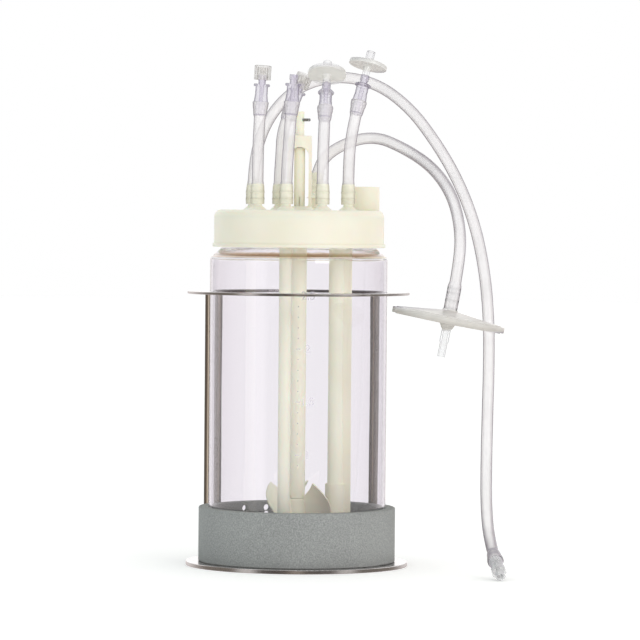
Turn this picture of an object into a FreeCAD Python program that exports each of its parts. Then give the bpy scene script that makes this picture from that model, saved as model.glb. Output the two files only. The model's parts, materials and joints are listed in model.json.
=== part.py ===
import FreeCAD, Part
import math
import os
from FreeCAD import Rotation, Vector

# Stirred single-use bench bioreactor: a clear jar in a steel stand, a moulded head plate with
# hose barbs and a bearing tower, a marine impeller on a plastic shaft, and flexible hoses with
# luer fittings and vent filters. Millimetres. The origin is under the middle of the base plate,
# +Z is up and the front faces -Y.

# Clearances
fit_gap = 0.05  # turning and pushed-in fits, on the radius
seat_gap = 0.3  # between parts that stand in one another

# Jar
jar_radius = 66.0
jar_wall = 2.0
jar_foot_round = 8.0
jar_body_height = 224.8  # foot to the neck's foot
shoulder_step = 7.5  # how far the neck stands in from the body
shoulder_rise = 5.0
jar_bond = 1.2  # height of the neck's foot, where it is bonded on the cup
jar_shoulder_round = 1.0
neck_wall = 2.5
neck_height = 25.5  # shoulder to rim

# Stand
base_thickness = 3.0
ring_thickness = 2.0
ring_underside = 202.0
plate_margin = 0.5  # steel outside the rods, on the base plate and the ring
plate_edge_round = 0.4
rod_radius = 5.0
rod_recess = 1.1  # how far a rod stands in the foot collar
left_rod_angle = 148.0
right_rod_angle = 36.6
spigot_radius = 2.5
screw_radius = 2.0
screw_head_radius = 4.0
screw_head_height = 2.2
screw_length = 12.0
screw_socket_radius = 1.45
screw_socket_depth = 1.5

# Foot collar
collar_wall = 7.0
collar_height = 40.5
collar_edge_round = 0.9
collar_hole_radius = 2.4
collar_hole_angles = (111.0, 128.0)
collar_hole_depths = (5.2, 10.2)  # below the rim
collar_hole_slant = 0.6  # share of the angle that a hole is turned back to the rear

# Head plate
skirt_gap = 0.5  # between the neck and the skirt
skirt_wall = 4.3
skirt_height = 27.7
skirt_lip = 1.1
skirt_lip_height = 2.6
plate_thickness = 4.0
plate_round = 5.2
gasket_thickness = 1.2
port_bore = 2.3

# Hose barbs on the head plate: height above the plate, radius
barb_flare = 7.0
barb_flare_height = 3.2
barb_neck_radius = 3.4
barb_ridge_radius = 4.0
barb_tip_radius = 2.9
barb_ridge_heights = (8.3, 13.3)
barb_height = 19.6
hose_lift = 4.2  # from the plate to the end of the hose
vent_pedestal = 9.0

# Ports: x and y of each hose barb
ports = {
    "front_left": (-31.0, -25.0),
    "front_inner": (-9.7, -39.0),
    "front_right": (17.0, -36.0),
    "right": (36.1, -18.0),
    "rear": (-15.3, 37.0),
    "long": (-35.0, 18.5),
    "vent": (12.2, 37.0),
}
socket_depth = 10.7  # of the pipes' sockets under the head plate
socket_wall = 2.4

# Sensor port
sensor_edge = 2.02  # from the boss to the edge of the head plate
sensor_angle = 13.64
sensor_boss_radius = 12.5
sensor_boss_height = 17.7
sensor_thread_radius = 9.3
sensor_thread_depth = 12.0
sensor_bore = 6.2
sensor_inset = 2.2  # how far the boss stands in the plate, past the plate's rounded edge

# Bearing tower and drive
tower_radius = 9.1
tower_height = 55.3
tower_edge_round = 0.8
tower_flare = 2.2
window_half_width = 6.7
window_sill = 2.8  # above the head plate
window_crown = 46.7  # top of the arch above the head plate
spindle_radius = 3.3  # above the tower
tower_shaft_radius = 4.0
stirrer_radius = 5.9  # inside the jar
spindle_stand = 18.0  # above the tower
spindle_chamfer = 0.4
bush_wall = 2.2
bush_length = 6.0
guide_wall = 3.0
guide_depth = 12.0
seal_wall = 2.2
seal_length = 3.4
seal_lip = 0.8
pin_radius = 1.1
pin_length = 19.0
pin_drop = 6.3  # from the spindle's top to the pin
pin_angle = -40.0
foot_slot_width = 0.9
foot_slot_height = 7.0
foot_slot_depth = 1.6

# Marine impeller
impeller_radius = 26.0
blade_count = 3
blade_tip_radius = 19.8
blade_tip_height = 62.0
blade_root_top = 50.0
blade_root_bottom = 24.0
blade_belly_height = 43.0
blade_twist = 2.0  # degrees for each millimetre of height
blade_thickness = 2.2
blade_edge = 1.3
blade_start_angle = 66.5
hub_radius = 6.6
hub_bottom = 20.0
hub_round = 1.2
stub_radius = 4.0  # the shaft inside the hub

# Pipes in the jar
dip_pipe_radius = 4.55
dip_pipe_bore = 2.6
pipe_floor_gap = 9.0
well_centre = (28.6, 27.0)
well_radius = 5.7
well_bore = 4.0
well_floor = 3.0
well_head_radius = 8.6
well_head_height = 15.4
well_head_gap = 3.6  # between the head and the socket above it
well_foot_radius = 7.4
well_foot_height = 59.0
fin_reach = 11.8  # from the well's axis to the fin's edge
fin_thickness = 2.4

# Hoses
hose_radius = 4.3
hose_stretch = 1.1  # wall over a barb
bend_share = 0.45  # share of the shorter run that an arc takes

# Luer fitting: heights from the end face of the hose
luer_barb_length = 10.5
luer_barb_radius = 4.3
luer_barb_neck = 3.4
luer_barb_tip = 2.8
luer_foot_radius = 5.3
luer_body_radius = 4.6
luer_body_height = 11.2
luer_flange_radius = 6.0
luer_flange_height = 2.0
luer_root_radius = 2.7
luer_root_height = 2.4
luer_neck_radius = 3.2
luer_neck_height = 6.6
luer_bore = 2.1
luer_bore_depth = 7.5
luer_channel = 1.5
lug_reach = 3.8
lug_width = 2.0
lug_height = 1.3

# Ribbed luer cap
cap_radius = 6.2
cap_height = 10.8
cap_cavity_radius = 4.2
cap_roof = 1.6
cap_overlap = 3.7
cap_rib_count = 14
cap_groove_radius = 0.75
cap_cone_length = 9.0

# Disc filter, 25 mm membrane
disc_radius = 14.2
disc_shell = 1.5
disc_stem_radius = 3.0
disc_stem_length = 7.0
disc_collar_radius = 3.1
disc_collar_height = 8.8
disc_chamber_radius = 12.4
disc_membrane = 0.4

# Vent filter
vent_radius = 41.3
vent_rim_thickness = 2.1  # of each cover
vent_body_radius = 38.6
vent_body_thickness = 2.7  # of each cover
vent_cone = 3.9
vent_hub_step = 1.0
vent_hub_radius = 5.6
vent_chamber_radius = 36.5
vent_chamber_depth = 1.2
vent_membrane = 0.5
vent_barb_length = 17.5
vent_barb_radius = 4.0
vent_barb_neck = 3.4
vent_barb_tip = 2.8
vent_barb_ridges = 4
vent_spigot_radius = 3.3
vent_spigot_tip = 2.8
vent_spigot_length = 20.8
vent_spigot_step = 10.0
vent_bore = 1.9

# Places that follow from the sizes
jar_floor = base_thickness
shoulder_z = jar_floor + jar_body_height
neck_z = shoulder_z + jar_bond + shoulder_rise
neck_radius = jar_radius - shoulder_step
rim_z = neck_z + neck_height
ceiling_z = rim_z + gasket_thickness
deck_z = ceiling_z + plate_thickness
skirt_z = deck_z - skirt_height
skirt_top_z = deck_z - plate_round - 0.3
skirt_radius = neck_radius + skirt_gap + skirt_wall
collar_bore = jar_radius + seat_gap
collar_radius = collar_bore + collar_wall
rod_circle = collar_radius - rod_recess + rod_radius
plate_radius = rod_circle + rod_radius + plate_margin
rod_angles = {"stand_rod_left": left_rod_angle, "stand_rod_right": right_rod_angle}
tower_top = deck_z + tower_height
spindle_top = tower_top + spindle_stand
pipe_foot = jar_floor + jar_wall + pipe_floor_gap
socket_z = ceiling_z - socket_depth
sensor_foot_z = deck_z - sensor_inset
sensor_circle = skirt_radius - sensor_edge - sensor_boss_radius
sensor_x = sensor_circle * math.cos(math.radians(sensor_angle))
sensor_y = sensor_circle * math.sin(math.radians(sensor_angle))
upper_bush_radius = spindle_radius + fit_gap + bush_wall
lower_bush_radius = tower_shaft_radius + fit_gap + bush_wall
guide_z = ceiling_z - guide_depth
seal_radius = tower_shaft_radius + fit_gap + seal_wall
seal_z = deck_z + window_sill - seal_length
well_head_x = well_centre[0] + fin_reach - well_head_radius
well_head_z = socket_z - well_head_gap
luer_top = luer_body_height + luer_flange_height + luer_neck_height
vent_hub_z = vent_body_thickness + vent_cone
vent_barb_z = vent_hub_z + vent_hub_step

# Hose routes: the points after the end that is on the barb, up to the end face on the fitting.
# Heights of the short hoses and the vent hose are above the head plate.
short_routes = {
    "front_left": [(-31.0, -25.0, 26.3), (-30.6, -24.5, 54.8), (-29.1, -24.9, 79.6)],
    "front_inner": [(-9.7, -39.0, 21.3), (-7.9, -38.6, 52.3), (-6.0, -39.0, 79.7)],
    "front_right": [(17.0, -36.0, 31.8), (17.6, -36.8, 57.0), (18.5, -26.6, 76.0)],
    "right": [(36.1, -18.0, 29.3), (37.6, -22.7, 55.8), (43.6, -17.5, 80.9)],
    "rear": [(-15.3, 37.0, 22.3), (-14.0, 33.0, 41.3), (-13.2, 28.5, 61.0), (-6.4, 26.0, 77.3)],
}
vent_route = [
    (12.2, 37.0, 33.3), (26.8, 38.0, 50.2), (55.5, 27.5, 57.0), (80.0, 6.0, 45.8),
    (99.0, -21.0, 31.8), (112.0, -47.0, 12.3), (117.6, -68.0, -12.0), (116.7, -79.5, -37.0),
    (110.2, -80.0, -71.3),
]
# Heights above the bench: this hose comes down to it.
long_route = [
    (-35.0, 18.5, 300.0), (-25.5, 28.5, 332.0), (-4.5, 39.0, 356.5), (26.0, 42.0, 366.5),
    (57.0, 33.0, 361.0), (82.0, 15.0, 342.0), (101.0, 0.0, 316.5), (117.0, -13.0, 289.0),
    (129.5, -24.0, 257.0), (137.0, -31.0, 222.0), (140.3, -36.0, 186.0), (140.5, -39.0, 151.0),
    (139.6, -43.0, 116.0), (138.8, -49.0, 82.0), (138.3, -61.5, 49.5), (140.0, -83.0, 25.2),
    (143.6, -106.4, 12.5),
]


def along(start, end):
    step = end.sub(start)
    return step.multiply(1 / step.Length)


# Edges of a closed outline in the XZ plane. A corner is (x, z) or (x, z, radius).
def outline_edges(corners):
    count = len(corners)
    stretches = []
    for i, corner in enumerate(corners):
        here = Vector(corner[0], 0, corner[1])
        if len(corner) == 2:
            stretches.append((here, here, None))
            continue
        before = corners[i - 1]
        after = corners[(i + 1) % count]
        back = along(here, Vector(before[0], 0, before[1]))
        ahead = along(here, Vector(after[0], 0, after[1]))
        half = back.getAngle(ahead) / 2
        trim = corner[2] / math.tan(half)
        middle = back.add(ahead)
        middle.multiply((corner[2] / math.sin(half) - corner[2]) / middle.Length)
        stretches.append((here.add(back * trim), here.add(ahead * trim), here.add(middle)))
    edges = []
    for i, (first, last, middle) in enumerate(stretches):
        if middle:
            edges.append(Part.Arc(first, middle, last).toShape())
        following = stretches[(i + 1) % count][0]
        if last.distanceToPoint(following) > 1e-6:
            edges.append(Part.LineSegment(last, following).toShape())
    return edges


def lathe(corners):
    face = Part.Face(Part.Wire(outline_edges(corners)))
    return face.revolve(Vector(0, 0, 0), Vector(0, 0, 1), 360)


# A straight bar whose section is an outline in the XZ plane, from y = low to y = high.
def bar(corners, low, high):
    face = Part.Face(Part.Wire(outline_edges(corners)))
    return face.translated(Vector(0, low, 0)).extrude(Vector(0, high - low, 0))


def rod(radius, low, high, x=0.0, y=0.0):
    return Part.makeCylinder(radius, high - low, Vector(x, y, low))


def ring(inner, outer, low, high):
    return rod(outer, low, high).cut(rod(inner, low, high))


def placed(shape, at, axis):
    copy = shape.copy()
    copy.Placement = FreeCAD.Placement(at, Rotation(Vector(0, 0, 1), axis))
    return copy


def turned(shape, degrees):
    copy = shape.copy()
    copy.rotate(Vector(0, 0, 0), Vector(0, 0, 1), degrees)
    return copy


def around(radius, degrees, z=0.0):
    angle = math.radians(degrees)
    return Vector(radius * math.cos(angle), radius * math.sin(angle), z)


def save(node, shape):
    shape.exportStep("parts/" + node + ".step")


# Stand

def base_plate():
    plate = lathe([(0, 0), (plate_radius, 0, plate_edge_round),
                   (plate_radius, base_thickness, plate_edge_round), (0, base_thickness)])
    for angle in rod_angles.values():
        at = around(rod_circle, angle)
        plate = plate.cut(screw_room().translated(at))
    return plate


def screw_form(grow):
    head = screw_head_radius + grow
    shank = screw_radius + grow
    return lathe([(0, 0), (head, 0), (shank, screw_head_height), (shank, screw_length), (0, screw_length)])


def screw_room():
    return screw_form(fit_gap)


def base_screws():
    hexagon = Part.makePolygon([around(screw_socket_radius, 60 * i) for i in range(7)])
    socket = Part.Face(hexagon).extrude(Vector(0, 0, screw_socket_depth))
    screw = screw_form(0).cut(socket)
    screws = [screw.translated(around(rod_circle, angle)) for angle in rod_angles.values()]
    return Part.makeCompound(screws)


def stand_rod(angle):
    shank = rod(rod_radius, base_thickness, ring_underside)
    spigot = rod(spigot_radius, ring_underside, ring_underside + ring_thickness)
    return shank.fuse(spigot).cut(screw_room()).translated(around(rod_circle, angle))


def top_ring():
    top = ring_underside + ring_thickness
    bore = jar_radius + seat_gap
    plate = lathe([(bore, ring_underside), (plate_radius, ring_underside, plate_edge_round),
                   (plate_radius, top, plate_edge_round), (bore, top)])
    for angle in rod_angles.values():
        at = around(rod_circle, angle)
        plate = plate.cut(rod(spigot_radius + fit_gap, ring_underside, top, at.x, at.y))
    return plate


def holder_collar():
    rim = base_thickness + collar_height
    collar = lathe([(collar_bore, base_thickness), (collar_radius, base_thickness, collar_edge_round),
                    (collar_radius, rim, collar_edge_round), (collar_bore, rim, collar_edge_round)])
    for angle in collar_hole_angles:
        for depth in collar_hole_depths:
            start = around(collar_bore - 1, angle, rim - depth)
            course = angle - collar_hole_slant * (angle - 90)
            hole = Part.makeCylinder(collar_hole_radius, collar_wall + 5, start, around(1, course))
            collar = collar.cut(hole)
    for angle in rod_angles.values():
        at = around(rod_circle, angle)
        collar = collar.cut(rod(rod_radius + seat_gap, base_thickness, rim, at.x, at.y))
    return collar


# Vessel

# The cup below the shoulder
def vessel_jar():
    inner = jar_radius - jar_wall
    floor = jar_floor + jar_wall
    return lathe([
        (0, jar_floor), (jar_radius, jar_floor, jar_foot_round), (jar_radius, shoulder_z),
        (inner, shoulder_z), (inner, floor, jar_foot_round - jar_wall), (0, floor),
    ])


# The shoulder and the neck, bonded on the cup
def jar_neck():
    inner = jar_radius - jar_wall
    neck_inner = neck_radius - neck_wall
    drop = jar_wall * 0.4
    return lathe([
        (inner, shoulder_z), (jar_radius, shoulder_z),
        (jar_radius, shoulder_z + jar_bond, jar_shoulder_round), (neck_radius, neck_z, 1.5),
        (neck_radius, rim_z), (neck_inner, rim_z), (neck_inner, neck_z - drop, 1.5),
    ])


def neck_gasket():
    inner = neck_radius - neck_wall + seat_gap
    return ring(inner, neck_radius - seat_gap, rim_z, ceiling_z)


# Hose barb of the head plate, standing on z = 0.
def plate_barb(grow=0.0):
    low, high = barb_ridge_heights
    neck = barb_neck_radius + grow
    ridge = barb_ridge_radius + grow
    return lathe([
        (0, 0), (barb_flare, 0), (neck, barb_flare_height, 2.0), (neck, low), (ridge, low),
        (neck, high), (ridge, high), (barb_tip_radius + grow, barb_height), (0, barb_height),
    ])


def port_base(name):
    x, y = ports[name]
    lift = vent_pedestal if name == "vent" else 0.0
    return Vector(x, y, deck_z + lift)


# The deck of the head plate, down to the end of its rounded edge
def head_plate():
    inner = neck_radius + skirt_gap
    plate = lathe([(0, ceiling_z), (inner, ceiling_z), (inner, skirt_top_z), (skirt_radius, skirt_top_z),
                   (skirt_radius, deck_z, plate_round), (0, deck_z)])
    cuts = [tower_bores(), rod(well_bore, ceiling_z, deck_z, *well_centre)]
    cuts += [rod(port_bore, ceiling_z, deck_z, x, y) for x, y in ports.values()]
    cuts.append(rod(sensor_bore, ceiling_z, deck_z, sensor_x, sensor_y))
    # The sensor boss stands a little over the rounded edge of the plate.
    return plate.cut(cuts + [sensor_room()]).removeSplitter().Solids[0]


# The skirt below the deck, round the jar's neck
def plate_skirt():
    inner = neck_radius + skirt_gap
    lip = skirt_radius + skirt_lip
    lip_top = skirt_z + skirt_lip_height
    return lathe([(inner, skirt_z), (lip, skirt_z, 0.5), (lip, lip_top, 0.5), (skirt_radius, lip_top),
                  (skirt_radius, skirt_top_z), (inner, skirt_top_z)])


# Under the deck: the shaft's guide and the sockets of the two pipes
def pipe_sockets():
    dip_x, dip_y = ports["front_inner"]
    well_x, well_y = well_centre
    guide = rod(lower_bush_radius + guide_wall, guide_z, ceiling_z).cut(tower_bores())
    dip_socket = rod(dip_pipe_radius + socket_wall, socket_z, ceiling_z, dip_x, dip_y)
    dip_socket = dip_socket.cut(rod(dip_pipe_radius + fit_gap, socket_z, ceiling_z, dip_x, dip_y))
    well_socket = rod(well_head_radius, socket_z, ceiling_z, well_head_x, well_y)
    well_socket = well_socket.cut(rod(well_radius + fit_gap, socket_z, ceiling_z, well_x, well_y))
    return Part.makeCompound([guide.Solids[0], dip_socket, well_socket])


# Bearing tower, with its window and the seats of the seal and the upper bush
def bearing_tower():
    foot = tower_radius + tower_flare
    tower = lathe([(0, deck_z), (foot, deck_z), (tower_radius, deck_z + tower_flare, 1.6),
                   (tower_radius, tower_top, tower_edge_round), (0, tower_top)])
    return tower.cut([tower_window(), tower_bores()]).removeSplitter().Solids[0]


def sensor_room():
    return rod(sensor_boss_radius + fit_gap, sensor_foot_z, deck_z + 1, sensor_x, sensor_y)


def sensor_boss():
    top = deck_z + sensor_boss_height
    boss = lathe([(0, sensor_foot_z), (sensor_boss_radius, sensor_foot_z),
                  (sensor_boss_radius, top, 0.6), (0, top)])
    thread = rod(sensor_thread_radius, top - sensor_thread_depth, top)
    boss = boss.cut([thread, rod(sensor_bore, sensor_foot_z, top)])
    return boss.translated(Vector(sensor_x, sensor_y, 0))


# All hose barbs, each on the deck over its hole
def hose_barbs():
    barbs = []
    for name, (x, y) in ports.items():
        barb = plate_barb().translated(port_base(name))
        if name == "vent":
            barb = barb.fuse(rod(barb_ridge_radius + 1, deck_z, deck_z + vent_pedestal, x, y))
        hole = rod(port_bore, deck_z, deck_z + vent_pedestal + barb_height + 1, x, y)
        barbs.append(barb.cut(hole).removeSplitter().Solids[0])
    return Part.makeCompound(barbs)


# Arched window through the tower, from front to back.
def tower_window():
    sill = deck_z + window_sill
    crown = deck_z + window_crown
    half = window_half_width
    reach = tower_radius + 4
    return bar([(-half, sill, 1.2), (half, sill, 1.2), (half, crown, half - 0.2),
                (-half, crown, half - 0.2)], -reach, reach)


# Seats of the bushes and the seal, and the shaft's way between them.
def tower_bores():
    way = tower_shaft_radius + 2 * fit_gap
    bush_floor = tower_top - bush_length
    shaft_way = rod(way, guide_z, deck_z + window_crown + 2 * fit_gap)
    spindle_way = rod(spindle_radius + 2 * fit_gap, guide_z, tower_top)
    upper = rod(upper_bush_radius + fit_gap, bush_floor, tower_top)
    lower = rod(lower_bush_radius + fit_gap, guide_z, guide_z + bush_length)
    seal = rod(seal_radius + fit_gap, seal_z, deck_z + window_sill)
    return shaft_way.fuse([spindle_way, upper, lower, seal])


def shaft_bush_upper():
    return ring(spindle_radius + fit_gap, upper_bush_radius, tower_top - bush_length, tower_top)


def shaft_bush_lower():
    return ring(tower_shaft_radius + fit_gap, lower_bush_radius, guide_z, guide_z + bush_length)


def shaft_seal():
    top = seal_z + seal_length
    bore = tower_shaft_radius + fit_gap
    middle = bore + seal_lip
    return lathe([(middle, seal_z), (seal_radius, seal_z), (seal_radius, top), (middle, top),
                  (bore, top - seal_lip), (bore, seal_z + seal_lip)])


# Stirrer

def stirrer_shaft():
    shoulder = guide_z - seat_gap
    step = deck_z + window_crown - seat_gap
    shaft = lathe([
        (0, hub_bottom + 2), (stub_radius, hub_bottom + 2), (stub_radius, blade_root_top),
        (stirrer_radius, blade_root_top), (stirrer_radius, shoulder, 0.6),
        (tower_shaft_radius, shoulder), (tower_shaft_radius, step, 0.4), (spindle_radius, step),
        (spindle_radius, spindle_top, spindle_chamfer), (0, spindle_top),
    ])
    pin_room = rod(pin_radius + fit_gap, -pin_length, pin_length)
    pin_room = placed(pin_room, Vector(0, 0, spindle_top - pin_drop), around(1, pin_angle))
    sill = deck_z + window_sill
    slot = Part.makeBox(foot_slot_width, foot_slot_depth, foot_slot_height)
    slot.translate(Vector(-foot_slot_width / 2, -tower_shaft_radius, sill + fit_gap))
    return shaft.cut(pin_room).cut(slot)


def drive_pin():
    half = pin_length / 2
    pin = lathe([(0, -half), (pin_radius, -half, 0.3), (pin_radius, half, 0.3), (0, half)])
    return placed(pin, Vector(0, 0, spindle_top - pin_drop), around(1, pin_angle))


# One blade: a slab twisted about the axis, trimmed to a petal by a turned form.
def impeller_blade():
    low = blade_root_bottom - 4
    high = blade_tip_height + 2
    sections = []
    steps = 8
    for i in range(steps + 1):
        z = low + (high - low) * i / steps
        inner = blade_thickness / 2
        outer = blade_edge / 2
        reach = impeller_radius + 2
        corners = [Vector(2, -inner, z), Vector(reach, -outer, z), Vector(reach, outer, z),
                   Vector(2, inner, z)]
        wire = Part.makePolygon(corners + corners[:1])
        wire.rotate(Vector(0, 0, 0), Vector(0, 0, 1), (blade_tip_height - z) * blade_twist)
        sections.append(wire)
    slab = Part.makeLoft(sections, True, False)
    root = hub_radius - 2
    start = Vector(root, 0, blade_root_bottom)
    belly = Vector(impeller_radius, 0, blade_belly_height)
    tip = Vector(blade_tip_radius, 0, blade_tip_height)
    lower = Vector((root + impeller_radius) / 2 + 4, 0, (start.z + belly.z) / 2 - 5)
    upper = Vector(impeller_radius - 1.1, 0, (belly.z + tip.z) / 2 + 1)
    edges = [
        Part.Arc(start, lower, belly).toShape(),
        Part.Arc(belly, upper, tip).toShape(),
        Part.LineSegment(tip, Vector(root, 0, blade_root_top)).toShape(),
        Part.LineSegment(Vector(root, 0, blade_root_top), start).toShape(),
    ]
    petal = Part.Face(Part.Wire(edges)).revolve(Vector(0, 0, 0), Vector(0, 0, 1), 360)
    return slab.common(petal)


def impeller():
    hub_top = blade_root_top - seat_gap
    hub = lathe([(0, hub_bottom), (hub_radius, hub_bottom, hub_round), (hub_radius, hub_top, hub_round),
                 (0, hub_top)])
    blade = impeller_blade()
    blades = [turned(blade, blade_start_angle + 360 / blade_count * i) for i in range(blade_count)]
    body = hub.fuse(blades)
    stub_room = rod(stub_radius + fit_gap, hub_bottom + 2 - seat_gap, blade_root_top)
    shaft_room = rod(stirrer_radius + seat_gap, hub_top, blade_tip_height)
    return body.cut([stub_room, shaft_room]).removeSplitter().Solids[0]


# Pipes

def dip_tube():
    x, y = ports["front_inner"]
    top = ceiling_z - seat_gap
    return ring(dip_pipe_bore, dip_pipe_radius, pipe_foot, top).translated(Vector(x, y, 0))


# Closed well for a temperature probe, with a baffle fin down its side and a round head.
def probe_well():
    top = ceiling_z - seat_gap
    body = rod(well_radius, pipe_foot, top)
    foot = lathe([(0, pipe_foot), (well_foot_radius, pipe_foot, 1.5),
                  (well_foot_radius, well_foot_height), (0, well_foot_height)])
    fin_foot = pipe_foot + 2
    fin = Part.makeBox(fin_reach, fin_thickness, well_head_z - 1 - fin_foot)
    fin.translate(Vector(0, -fin_thickness / 2, fin_foot))
    head = rod(well_head_radius, well_head_z - well_head_height, well_head_z, well_head_x - well_centre[0])
    well = body.fuse([foot, fin, head]).cut(rod(well_bore, pipe_foot + well_floor, top + 1))
    return well.removeSplitter().Solids[0].translated(Vector(*well_centre, 0))


# Hoses: straight runs joined by tangent arcs

def hose_path(points):
    edges = []
    radii = []
    start = points[0]
    for before, corner, after in zip(points, points[1:], points[2:]):
        back = along(corner, before)
        ahead = along(corner, after)
        half = (math.pi - back.getAngle(ahead)) / 2
        shorter = min(corner.distanceToPoint(before), corner.distanceToPoint(after))
        trim = bend_share * shorter
        radius = trim / math.tan(half)
        radii.append(radius)
        middle = back.add(ahead)
        middle.multiply((radius / math.cos(half) - radius) / middle.Length)
        first = corner.add(back * trim)
        last = corner.add(ahead * trim)
        edges.append(Part.LineSegment(start, first).toShape())
        edges.append(Part.Arc(first, corner.add(middle), last).toShape())
        start = last
    edges.append(Part.LineSegment(start, points[-1]).toShape())
    return Part.Wire(edges), radii


# Outer form of a hose stretched over a barb, from its end face at z = 0.
def hose_flare(radius, length):
    return lathe([(0, 0), (radius - 0.2, 0, 0.4), (radius, length * 0.6, 2.0),
                  (hose_radius - 0.1, length + 1.0), (0, length + 1.0)])


def hose(name, points, rooms, flares):
    path, radii = hose_path(points)
    section = Part.Wire(Part.makeCircle(hose_radius, points[0], along(points[0], points[1])))
    tube = path.makePipeShell([section], True, False)
    share = tube.Volume / (math.pi * hose_radius ** 2 * path.Length)
    print(name, "length %.1f" % path.Length, "volume share %.4f" % share,
          "radii", [round(r) for r in radii])
    return tube.fuse(flares).cut(rooms).removeSplitter().Solids[0]


# Ridged barb of the vent filter, below z = 0.
def vent_barb_form(grow=0.0):
    neck = vent_barb_neck + grow
    pitch = vent_barb_length / vent_barb_ridges
    corners = [(0, 0), (0, -vent_barb_length), (vent_barb_tip + grow, -vent_barb_length)]
    for i in range(vent_barb_ridges):
        ridge_z = pitch * (i + 0.9) - vent_barb_length
        corners += [(vent_barb_radius + grow, ridge_z), (neck, ridge_z)]
    return lathe(corners + [(neck, 0)])


def hose_points(name):
    base = port_base(name)
    first = base.add(Vector(0, 0, hose_lift))
    if name == "long":
        return [first] + [Vector(*point) for point in long_route]
    route = vent_route if name == "vent" else short_routes[name]
    return [first] + [Vector(x, y, deck_z + z) for x, y, z in route]


# Place and direction of what is pushed into the far end of a hose.
def hose_end(name):
    points = hose_points(name)
    return points[-1], along(points[-2], points[-1])


def make_hose(name):
    points = hose_points(name)
    at, axis = hose_end(name)
    near = hose_flare(barb_ridge_radius + hose_stretch, barb_height - hose_lift)
    if name == "vent":
        far = hose_flare(vent_barb_radius + hose_stretch, vent_barb_length)
        far_room = vent_barb_form(fit_gap)
    else:
        far = hose_flare(luer_barb_radius + hose_stretch, luer_barb_length)
        far_room = luer_barb_form(fit_gap)
    rooms = [plate_barb(fit_gap).translated(port_base(name)), placed(far_room, at, axis)]
    flares = [near.translated(points[0]), placed(far, at, axis * -1)]
    return hose(name, points, rooms, flares)


# Luer fitting: barb below z = 0, body, hexagonal flange and female neck above it.
def luer_barb_form(grow=0.0):
    neck = luer_barb_neck + grow
    ridge = luer_barb_radius + grow
    low = -luer_barb_length
    return lathe([
        (0, low), (luer_barb_tip + grow, low), (ridge, low + 4.0), (neck, low + 4.0),
        (ridge, -2.4), (neck, -2.4), (neck, 0), (0, 0),
    ])


def luer_fitting(lug_angle=90.0):
    body = lathe([
        (0, 0), (luer_foot_radius, 0, 0.4), (luer_body_radius, luer_body_height / 2, 4.0),
        (luer_body_radius, luer_body_height), (0, luer_body_height),
    ])
    top = luer_body_height + luer_flange_height
    hexagon = Part.makePolygon([around(luer_flange_radius, 60 * i, luer_body_height) for i in range(7)])
    flange = Part.Face(hexagon).extrude(Vector(0, 0, luer_flange_height))
    chamfer = lathe([(0, luer_body_height), (luer_flange_radius - 0.5, luer_body_height),
                     (luer_flange_radius, luer_body_height + 0.5), (luer_flange_radius, top - 0.5),
                     (luer_flange_radius - 0.5, top), (0, top)])
    flange = flange.common(chamfer)
    step = top + luer_root_height
    neck = lathe([(0, top), (luer_root_radius, top), (luer_root_radius, step, 0.3),
                  (luer_neck_radius, step + 0.6), (luer_neck_radius, luer_top), (0, luer_top)])
    lugs = Part.makeBox(2 * lug_reach, lug_width, lug_height)
    lugs.translate(Vector(-lug_reach, -lug_width / 2, luer_top - lug_height))
    lugs = turned(lugs.common(rod(lug_reach, top, luer_top)), lug_angle)
    fitting = body.fuse([luer_barb_form(), flange, neck, lugs])
    bore = rod(luer_bore, luer_top - luer_bore_depth, luer_top)
    channel = rod(luer_channel, -luer_barb_length, luer_top)
    return fitting.cut([bore, channel]).removeSplitter().Solids[0]


# Ribbed cap: open at z = 0, with a male cone inside.
def luer_cap():
    roof = cap_height - cap_roof
    wall = lathe([(cap_cavity_radius, 0), (cap_radius, 0, 0.5), (cap_radius, cap_height, 0.8),
                  (0, cap_height), (0, roof), (cap_cavity_radius, roof)])
    cone = rod(luer_bore - fit_gap, roof - cap_cone_length, roof)
    cap = wall.fuse(cone)
    grooves = []
    for i in range(cap_rib_count):
        at = around(cap_radius + cap_groove_radius * 0.35, 360 / cap_rib_count * i)
        grooves.append(rod(cap_groove_radius, -1, cap_height - 1.0, at.x, at.y))
    return cap.cut(grooves).removeSplitter().Solids[0]


# Disc filter on the luer's neck, whose top is z = 0.
def disc_lower():
    low = disc_stem_length
    seam = low + disc_shell
    shell = lathe([
        (0, 0.3), (disc_stem_radius - 0.4, 0.3), (disc_stem_radius, low, 0.8), (disc_radius, low, 0.5),
        (disc_radius, seam), (disc_chamber_radius, seam), (disc_chamber_radius, seam - 0.6),
        (0, seam - 0.6),
    ])
    tip = rod(luer_bore - fit_gap, 0.6 - luer_bore_depth, 1)
    return shell.fuse(tip).cut(rod(1.2, -luer_bore_depth, seam)).removeSplitter().Solids[0]


def disc_upper():
    seam = disc_stem_length + disc_shell
    top = seam + disc_shell
    shell = lathe([
        (0, seam + 0.6), (disc_chamber_radius, seam + 0.6), (disc_chamber_radius, seam),
        (disc_radius, seam), (disc_radius, top, 0.5), (disc_collar_radius, top, 0.8),
        (disc_collar_radius, top + disc_collar_height), (0, top + disc_collar_height),
    ])
    bore = rod(luer_bore, top, top + disc_collar_height)
    return shell.cut([bore, rod(1.2, seam, top)]).removeSplitter().Solids[0]


def disc_sheet():
    seam = disc_stem_length + disc_shell
    half = disc_membrane / 2
    return rod(disc_chamber_radius - fit_gap, seam - half, seam + half)


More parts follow.
